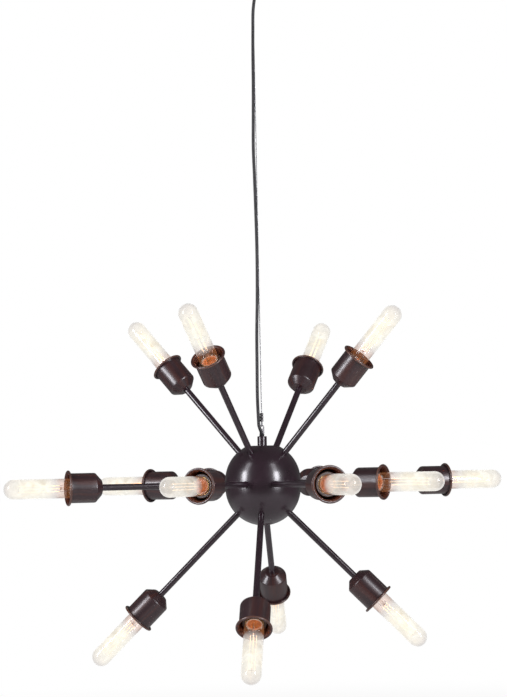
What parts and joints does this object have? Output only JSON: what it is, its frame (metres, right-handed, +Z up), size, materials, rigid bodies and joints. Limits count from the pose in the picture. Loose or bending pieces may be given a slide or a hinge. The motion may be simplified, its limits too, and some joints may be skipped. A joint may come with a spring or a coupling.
{
  "type": "pendant light",
  "caption": "Ball pendant light on a steel cable and cord, with arms in every direction that end in rimmed cups with tube bulbs.",
  "frame": {"origin": "centre of the ceiling plate's upper face, where it meets the ceiling", "axes": "+Z points up along the straight hanging cable; one long level arm points along -Y; +X is to the right seen from the -Y side"},
  "size_m": [0.828, 0.828, 1.1245],
  "materials": {
    "bronze_paint": "satin dark bronze, almost black",
    "zinc_steel": "zinc plated",
    "cable_steel": "bright steel wire",
    "ferrule_metal": "pressed, dull",
    "brass": "plain",
    "cord_black": "smooth black sleeve",
    "black_plastic": "moulded black",
    "terminal_plastic": "moulded off-white",
    "lead_sleeve": "insulated wire",
    "holder_plastic": "moulded dark brown",
    "bulb_glass": "clear glass with glowing filaments"
  },
  "bodies": {
    "ceiling": {"ceiling_bracket": "zinc_steel", "canopy": "bronze_paint", "hanger_stem": "zinc_steel", "stem_locknut": "brass", "collar_nut": "bronze_paint", "cord_gland": "black_plastic", "terminal_block": "terminal_plastic"},
    "cable_stop": {"cable_ball": "cable_steel"},
    "cable": {"steel_cable": "cable_steel", "power_cord": "cord_black", "cable_ferrule": "ferrule_metal"},
    "fixture": {"hanging_eye": "bronze_paint", "ball_collar": "bronze_paint", "tie_rod": "zinc_steel", "ball_upper_shell": "bronze_paint", "ball_lower_shell": "bronze_paint", "hub_ring": "zinc_steel", "junction_block": "terminal_plastic", "upper_arms": "bronze_paint", "long_arms": "bronze_paint", "short_arms": "bronze_paint", "lower_arms": "bronze_paint", "arm_locknuts": "brass", "lamp_leads": "lead_sleeve", "lampholder_bodies": "holder_plastic", "lampholder_shells": "brass", "lampholder_contacts": "brass", "cup_upper_1": "bronze_paint", "cup_upper_2": "bronze_paint", "cup_upper_3": "bronze_paint", "cup_upper_4": "bronze_paint", "cup_long_1": "bronze_paint", "cup_long_2": "bronze_paint", "cup_long_3": "bronze_paint", "cup_long_4": "bronze_paint", "cup_short_1": "bronze_paint", "cup_short_2": "bronze_paint", "cup_short_3": "bronze_paint", "cup_short_4": "bronze_paint", "cup_lower_1": "bronze_paint", "cup_lower_2": "bronze_paint", "cup_lower_3": "bronze_paint", "cup_lower_4": "bronze_paint"},
    "bulb_upper_1": {"bulb_upper_1": "bulb_glass"},
    "bulb_upper_2": {"bulb_upper_2": "bulb_glass"},
    "bulb_upper_3": {"bulb_upper_3": "bulb_glass"},
    "bulb_upper_4": {"bulb_upper_4": "bulb_glass"},
    "bulb_long_1": {"bulb_long_1": "bulb_glass"},
    "bulb_long_2": {"bulb_long_2": "bulb_glass"},
    "bulb_long_3": {"bulb_long_3": "bulb_glass"},
    "bulb_long_4": {"bulb_long_4": "bulb_glass"},
    "bulb_short_1": {"bulb_short_1": "bulb_glass"},
    "bulb_short_2": {"bulb_short_2": "bulb_glass"},
    "bulb_short_3": {"bulb_short_3": "bulb_glass"},
    "bulb_short_4": {"bulb_short_4": "bulb_glass"},
    "bulb_lower_1": {"bulb_lower_1": "bulb_glass"},
    "bulb_lower_2": {"bulb_lower_2": "bulb_glass"},
    "bulb_lower_3": {"bulb_lower_3": "bulb_glass"},
    "bulb_lower_4": {"bulb_lower_4": "bulb_glass"}
  },
  "joints": [
    {"name": "swing_forward", "type": "hinge", "parent": "ceiling", "child": "cable_stop", "pos_m": [0, 0, -0.028], "axis": [1, 0, 0], "range_deg": [-12, 12]},
    {"name": "swing_sideways", "type": "hinge", "parent": "cable_stop", "child": "cable", "pos_m": [0, 0, -0.028], "axis": [0, 1, 0], "range_deg": [-12, 12]},
    {"name": "eye_tilt", "type": "hinge", "parent": "cable", "child": "fixture", "pos_m": [0, 0, -0.74991], "axis": [0, 1, 0], "range_deg": [-15, 15], "deforming": ["power_cord"]},
    {"name": "bulb_upper_1_out", "type": "slide", "parent": "fixture", "child": "bulb_upper_1", "axis": [0.4777, -0.4777, 0.7373], "range_m": [0, 0.03]},
    {"name": "bulb_upper_2_out", "type": "slide", "parent": "fixture", "child": "bulb_upper_2", "axis": [0.4777, 0.4777, 0.7373], "range_m": [0, 0.03]},
    {"name": "bulb_upper_3_out", "type": "slide", "parent": "fixture", "child": "bulb_upper_3", "axis": [-0.4777, 0.4777, 0.7373], "range_m": [0, 0.03]},
    {"name": "bulb_upper_4_out", "type": "slide", "parent": "fixture", "child": "bulb_upper_4", "axis": [-0.4777, -0.4777, 0.7373], "range_m": [0, 0.03]},
    {"name": "bulb_long_1_out", "type": "slide", "parent": "fixture", "child": "bulb_long_1", "axis": [0, -1, 0], "range_m": [0, 0.03]},
    {"name": "bulb_long_2_out", "type": "slide", "parent": "fixture", "child": "bulb_long_2", "axis": [1, 0, 0], "range_m": [0, 0.03]},
    {"name": "bulb_long_3_out", "type": "slide", "parent": "fixture", "child": "bulb_long_3", "axis": [0, 1, 0], "range_m": [0, 0.03]},
    {"name": "bulb_long_4_out", "type": "slide", "parent": "fixture", "child": "bulb_long_4", "axis": [-1, 0, 0], "range_m": [0, 0.03]},
    {"name": "bulb_short_1_out", "type": "slide", "parent": "fixture", "child": "bulb_short_1", "axis": [0.7071, -0.7071, 0], "range_m": [0, 0.03]},
    {"name": "bulb_short_2_out", "type": "slide", "parent": "fixture", "child": "bulb_short_2", "axis": [0.7071, 0.7071, 0], "range_m": [0, 0.03]},
    {"name": "bulb_short_3_out", "type": "slide", "parent": "fixture", "child": "bulb_short_3", "axis": [-0.7071, 0.7071, 0], "range_m": [0, 0.03]},
    {"name": "bulb_short_4_out", "type": "slide", "parent": "fixture", "child": "bulb_short_4", "axis": [-0.7071, -0.7071, 0], "range_m": [0, 0.03]},
    {"name": "bulb_lower_1_out", "type": "slide", "parent": "fixture", "child": "bulb_lower_1", "axis": [-0.2706, -0.6533, -0.7071], "range_m": [0, 0.03]},
    {"name": "bulb_lower_2_out", "type": "slide", "parent": "fixture", "child": "bulb_lower_2", "axis": [0.6533, -0.2706, -0.7071], "range_m": [0, 0.03]},
    {"name": "bulb_lower_3_out", "type": "slide", "parent": "fixture", "child": "bulb_lower_3", "axis": [0.2706, 0.6533, -0.7071], "range_m": [0, 0.03]},
    {"name": "bulb_lower_4_out", "type": "slide", "parent": "fixture", "child": "bulb_lower_4", "axis": [-0.6533, 0.2706, -0.7071], "range_m": [0, 0.03]}
  ]
}
